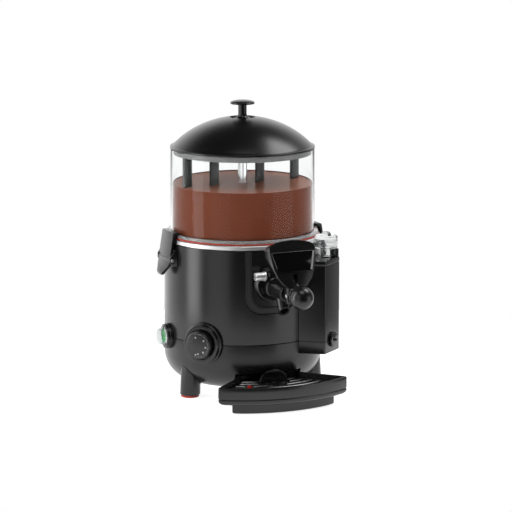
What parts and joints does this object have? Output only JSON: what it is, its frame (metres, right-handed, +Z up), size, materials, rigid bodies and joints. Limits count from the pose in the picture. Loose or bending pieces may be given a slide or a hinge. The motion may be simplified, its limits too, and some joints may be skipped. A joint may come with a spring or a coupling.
{
  "type": "hot chocolate dispenser",
  "caption": "Table hot chocolate dispenser: black round body, clear bowl with stirrer and domed lid, sprung tap with ball handle, dial, switch, filler column and drip tray.",
  "frame": {"origin": "under the middle of the whole machine, on the table", "axes": "+Z up; the tap looks along -Y; the filler column is on the +X side of the front"},
  "size_m": [0.2882, 0.3992, 0.465],
  "materials": {
    "satin_black": "moulded black plastic with a satin sheen",
    "gloss_black": "polished black plastic",
    "stainless": "bright stainless steel",
    "clear_plastic": "clear food grade plastic; the bowl is see-through",
    "silicone": "orange-red silicone rubber",
    "grey_plastic": "grey moulded plastic",
    "rocker_green": "green lamp rocker",
    "float_red": "red float",
    "bronze": "sintered bronze"
  },
  "bodies": {
    "machine": {"lower_shell": "satin_black", "upper_shell": "satin_black", "leg_front_left": "satin_black", "leg_front_right": "satin_black", "leg_rear": "satin_black", "thermostat_bezel": "satin_black", "column_housing": "satin_black", "column_collar": "satin_black", "latch_bracket_left": "satin_black", "latch_bracket_right": "satin_black", "tap_body": "satin_black", "tap_ring_nut": "satin_black", "tap_end_cap": "satin_black", "cable_gland": "satin_black", "switch_bezel": "gloss_black", "base_plate": "stainless", "product_tank": "stainless", "water_jacket": "stainless", "heating_element": "stainless", "thermostat_body": "stainless", "latch_pin_left": "stainless", "latch_pin_right": "stainless", "clamp_screw": "stainless", "plunger_spring": "stainless", "level_pipe": "stainless", "bowl": "clear_plastic", "filler_cup": "clear_plastic", "switch_cap": "clear_plastic", "foot_pad_front_left": "silicone", "foot_pad_front_right": "silicone", "foot_pad_rear": "silicone", "tank_gasket": "silicone", "tap_gasket": "silicone", "gear_motor": "grey_plastic", "switch_body": "grey_plastic", "shaft_bush": "bronze"},
    "lid": {"lid_shell": "satin_black", "lid_skirt": "grey_plastic", "lid_knob": "satin_black", "knob_screw": "stainless"},
    "stirrer": {"drive_shaft": "stainless", "mixer_frame": "satin_black"},
    "thermostat_dial": {"thermostat_knob": "satin_black"},
    "rocker": {"switch_rocker": "rocker_green"},
    "filler_lid": {"filler_cap": "clear_plastic"},
    "drain": {"drain_plug": "gloss_black"},
    "latch_left": {"latch_lever_left": "satin_black"},
    "latch_right": {"latch_lever_right": "satin_black"},
    "tap_handle": {"handle_shield": "satin_black", "label_plate": "gloss_black", "ball_knob": "satin_black", "ball_stud": "stainless", "handle_pin": "stainless", "link_pin": "stainless"},
    "tap_plunger": {"plunger": "stainless", "plunger_seal": "silicone"},
    "tray": {"drip_tray": "satin_black", "tray_stand": "satin_black"},
    "grille": {"drip_grille": "satin_black"},
    "float": {"float_indicator": "float_red"}
  },
  "joints": [
    {"name": "lid_lift", "type": "slide", "parent": "machine", "child": "lid", "axis": [0, 0, 1], "range_m": [0, 0.1]},
    {"name": "stirrer_spin", "type": "hinge", "parent": "machine", "child": "stirrer", "pos_m": [0.00209, 0.06375, 0.25], "axis": [0, 0, 1], "continuous": true},
    {"name": "thermostat_turn", "type": "hinge", "parent": "machine", "child": "thermostat_dial", "pos_m": [-0.1033, -0.02221, 0.0936], "axis": [0.7749, 0.632, 0], "range_deg": [0, 270]},
    {"name": "switch_rock", "type": "hinge", "parent": "machine", "child": "rocker", "pos_m": [-0.12799, 0.06602, 0.092], "axis": [-0.0175, -0.9998, 0], "range_deg": [-6, 6]},
    {"name": "filler_cap_lift", "type": "slide", "parent": "machine", "child": "filler_lid", "axis": [0, 0, 1], "range_m": [0, 0.03]},
    {"name": "drain_plug_pull", "type": "slide", "parent": "machine", "child": "drain", "axis": [0.6428, -0.766, 0], "range_m": [0, 0.02]},
    {"name": "latch_left_turn", "type": "hinge", "parent": "machine", "child": "latch_left", "pos_m": [-0.12871, 0.06375, 0.2195], "axis": [0, -1, 0], "range_deg": [0, 20], "stiffness_Nm_per_rad": 0.3, "springref_deg": -20.05},
    {"name": "latch_right_turn", "type": "hinge", "parent": "machine", "child": "latch_right", "pos_m": [0.13289, 0.06375, 0.2195], "axis": [0, 1, 0], "range_deg": [0, 20], "stiffness_Nm_per_rad": 0.3, "springref_deg": -20.05},
    {"name": "handle_turn", "type": "hinge", "parent": "machine", "child": "tap_handle", "pos_m": [0.00209, -0.14425, 0.217], "axis": [-1, 0, 0], "range_deg": [0, 22], "stiffness_Nm_per_rad": 0.4, "springref_deg": -51.57},
    {"name": "plunger_slide", "type": "slide", "parent": "machine", "child": "tap_plunger", "axis": [0, -1, 0], "range_m": [0, 0.012], "deforming": ["plunger_spring"]},
    {"name": "tray_slide", "type": "slide", "parent": "machine", "child": "tray", "axis": [0, -1, 0], "range_m": [0, 0.12]},
    {"name": "grille_lift", "type": "slide", "parent": "tray", "child": "grille", "axis": [0, 0, 1], "range_m": [0, 0.012]},
    {"name": "float_rise", "type": "slide", "parent": "tray", "child": "float", "axis": [0, 0, 1], "range_m": [0, 0.006]}
  ],
  "couplings": [
    {"joint": "plunger_slide", "follows": "handle_turn", "m_per_rad": 0.0296}
  ]
}
